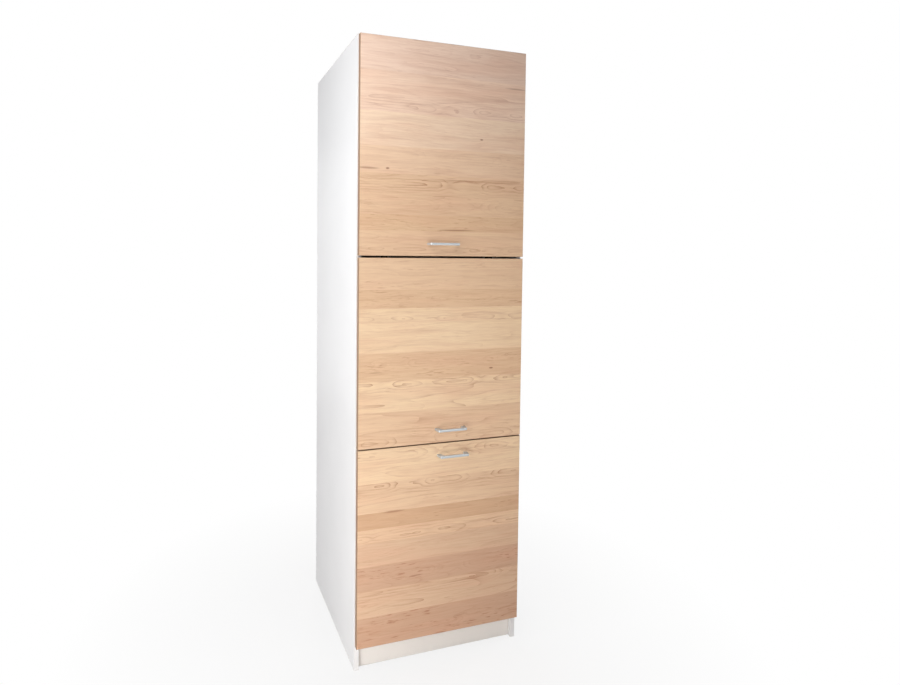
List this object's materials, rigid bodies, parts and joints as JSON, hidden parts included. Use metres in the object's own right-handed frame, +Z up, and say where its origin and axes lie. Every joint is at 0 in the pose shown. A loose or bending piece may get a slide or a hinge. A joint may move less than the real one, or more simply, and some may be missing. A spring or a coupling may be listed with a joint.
{
  "type": "tall kitchen cabinet",
  "caption": "Tall white kitchen cabinet with wood-decor fronts: lift-up flaps on gas struts over a pull-out, bow handles and a recessed plinth.",
  "frame": {"origin": "on the floor at the middle of the footprint, handles included", "axes": "+Z up, +Y towards the wall behind, +X to the right as seen from the front, which faces -Y"},
  "size_m": [0.6, 0.629, 2.07],
  "materials": {
    "white_board": "white melamine",
    "front_decor": "maple decor, horizontal grain",
    "back_board": "white fibreboard",
    "white_plastic": "matt",
    "handle_metal": "satin anodised",
    "zinc_steel": "zinc plated",
    "nickel_steel": "nickel plated",
    "beech_dowel": "raw beech",
    "strut_tube": "black painted",
    "strut_rod": "hard chrome",
    "buffer": "soft clear",
    "white_steel": "white powder coat"
  },
  "bodies": {
    "carcass": {"left_side_panel": "white_board", "right_side_panel": "white_board", "top_panel": "white_board", "base_panel": "white_board", "upper_fixed_shelf": "white_board", "lower_fixed_shelf": "white_board", "upper_loose_shelf": "white_board", "middle_loose_shelf": "white_board", "shelf_pins": "zinc_steel", "lower_back_panel": "back_board", "upper_back_panel": "back_board", "back_panel_joiner": "white_plastic", "wall_brackets": "zinc_steel", "plinth_panel": "white_board", "plinth_brackets": "zinc_steel", "floor_glides": "white_plastic", "cam_locks": "zinc_steel", "cam_bolts": "zinc_steel", "wood_dowels": "beech_dowel", "carcass_fitting_screws": "zinc_steel", "upper_hinge_arms": "nickel_steel", "upper_hinge_plates": "nickel_steel", "middle_hinge_arms": "nickel_steel", "middle_hinge_plates": "nickel_steel", "strut_side_brackets": "zinc_steel", "runner_cabinet_members": "zinc_steel", "runner_screws": "zinc_steel"},
    "upper_flap": {"upper_front": "front_decor", "upper_handle": "handle_metal", "upper_handle_screws": "zinc_steel", "upper_hinge_cups": "nickel_steel", "upper_hinge_pins": "nickel_steel", "upper_fitting_screws": "zinc_steel", "upper_strut_flap_brackets": "zinc_steel", "upper_buffers": "buffer"},
    "middle_flap": {"middle_front": "front_decor", "middle_handle": "handle_metal", "middle_handle_screws": "zinc_steel", "middle_hinge_cups": "nickel_steel", "middle_hinge_pins": "nickel_steel", "middle_fitting_screws": "zinc_steel", "middle_strut_flap_brackets": "zinc_steel", "middle_buffers": "buffer"},
    "upper_strut_tubes": {"upper_strut_cylinders": "strut_tube"},
    "upper_strut_pistons": {"upper_strut_rods": "strut_rod"},
    "middle_strut_tubes": {"middle_strut_cylinders": "strut_tube"},
    "middle_strut_pistons": {"middle_strut_rods": "strut_rod"},
    "pull_out": {"lower_front": "front_decor", "lower_handle": "handle_metal", "lower_handle_screws": "zinc_steel", "drawer_left_side": "white_board", "drawer_right_side": "white_board", "drawer_back": "white_board", "drawer_bottom": "white_board", "drawer_inner_front": "white_board", "drawer_front_screws": "zinc_steel", "gallery_rails": "white_steel", "runner_drawer_members": "zinc_steel"},
    "runner_middles": {"runner_middle_members": "zinc_steel"}
  },
  "joints": [
    {"name": "upper_flap_hinge", "type": "hinge", "parent": "carcass", "child": "upper_flap", "pos_m": [0, -0.2785, 2.0595], "axis": [-1, 0, 0], "range_deg": [0, 90]},
    {"name": "upper_strut_swing", "type": "hinge", "parent": "carcass", "child": "upper_strut_tubes", "pos_m": [0, -0.2505, 1.7595], "axis": [1, 0, 0], "range_deg": [0, 16.02]},
    {"name": "upper_strut_stroke", "type": "slide", "parent": "upper_strut_tubes", "child": "upper_strut_pistons", "axis": [0, 0, 1], "range_m": [0, 0.03299]},
    {"name": "middle_flap_hinge", "type": "hinge", "parent": "carcass", "child": "middle_flap", "pos_m": [0, -0.2785, 1.3545], "axis": [-1, 0, 0], "range_deg": [0, 90]},
    {"name": "middle_strut_swing", "type": "hinge", "parent": "carcass", "child": "middle_strut_tubes", "pos_m": [0, -0.2505, 1.0545], "axis": [1, 0, 0], "range_deg": [0, 16.02]},
    {"name": "middle_strut_stroke", "type": "slide", "parent": "middle_strut_tubes", "child": "middle_strut_pistons", "axis": [0, 0, 1], "range_m": [0, 0.03299]},
    {"name": "pull_out_slide", "type": "slide", "parent": "carcass", "child": "pull_out", "axis": [0, -1, 0], "range_m": [0, 0.48]},
    {"name": "runner_slide", "type": "slide", "parent": "carcass", "child": "runner_middles", "axis": [0, -1, 0], "range_m": [0, 0.24]}
  ],
  "couplings": [
    {"joint": "runner_slide", "follows": "pull_out_slide", "ratio": 0.5},
    {"joint": "upper_strut_swing", "follows": "upper_flap_hinge", "ratio": 0.17779},
    {"joint": "upper_strut_stroke", "follows": "upper_flap_hinge", "m_per_rad": 0.020985},
    {"joint": "middle_strut_swing", "follows": "middle_flap_hinge", "ratio": 0.17779},
    {"joint": "middle_strut_stroke", "follows": "middle_flap_hinge", "m_per_rad": 0.020985}
  ]
}
